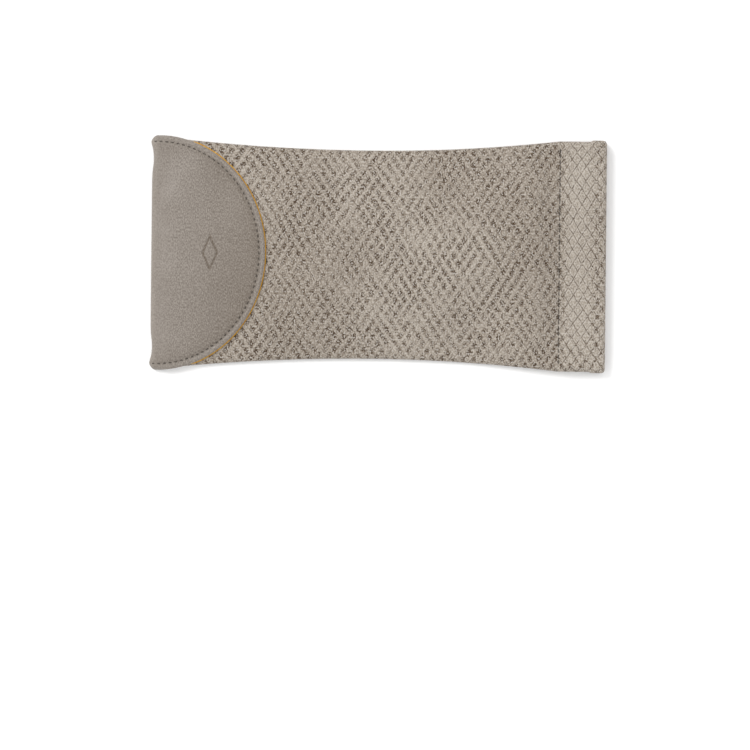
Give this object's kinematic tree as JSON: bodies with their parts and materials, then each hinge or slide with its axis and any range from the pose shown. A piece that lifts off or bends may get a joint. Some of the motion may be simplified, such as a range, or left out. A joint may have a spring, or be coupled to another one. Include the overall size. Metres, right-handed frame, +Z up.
{
  "type": "soft glasses pouch",
  "caption": "Flat soft glasses pouch with a waisted outline, a scale-embossed front, a rounded patch lapped over the closed end and a squeeze-to-open spring mouth.",
  "frame": {"origin": "under the middle of the pouch, on the surface it lies on", "axes": "+X from the closed end to the mouth, +Y across the pouch, +Z up out of the scale-embossed front"},
  "size_m": [0.175, 0.0904, 0.0094],
  "materials": {
    "smooth_leather": "fine grained taupe artificial leather with a soft sheen",
    "scale_leather": "snake-scale embossed artificial leather, pearly",
    "flannel": "brushed yellow flannel",
    "spring_steel": "blued flat spring steel",
    "tip_plastic": "matt black",
    "thread": "bonded polyester thread"
  },
  "bodies": {
    "back_wall": {"back_panel": "smooth_leather", "back_lining": "flannel", "back_spring_strip": "spring_steel", "back_strip_tips": "tip_plastic", "back_hem_thread": "thread", "side_seam_threads": "thread"},
    "front_wall": {"front_panel": "scale_leather", "front_lining": "flannel", "end_patch": "smooth_leather", "patch_backing": "flannel", "patch_thread": "thread", "front_spring_strip": "spring_steel", "front_strip_tips": "tip_plastic", "front_hem_thread": "thread"}
  },
  "joints": [
    {"name": "mouth_open", "type": "hinge", "parent": "back_wall", "child": "front_wall", "pos_m": [-0.08532, 0, 0.00218], "axis": [0, -1, 0], "range_deg": [0, 8], "stiffness_Nm_per_rad": 1.5, "springref_deg": -1.15}
  ]
}
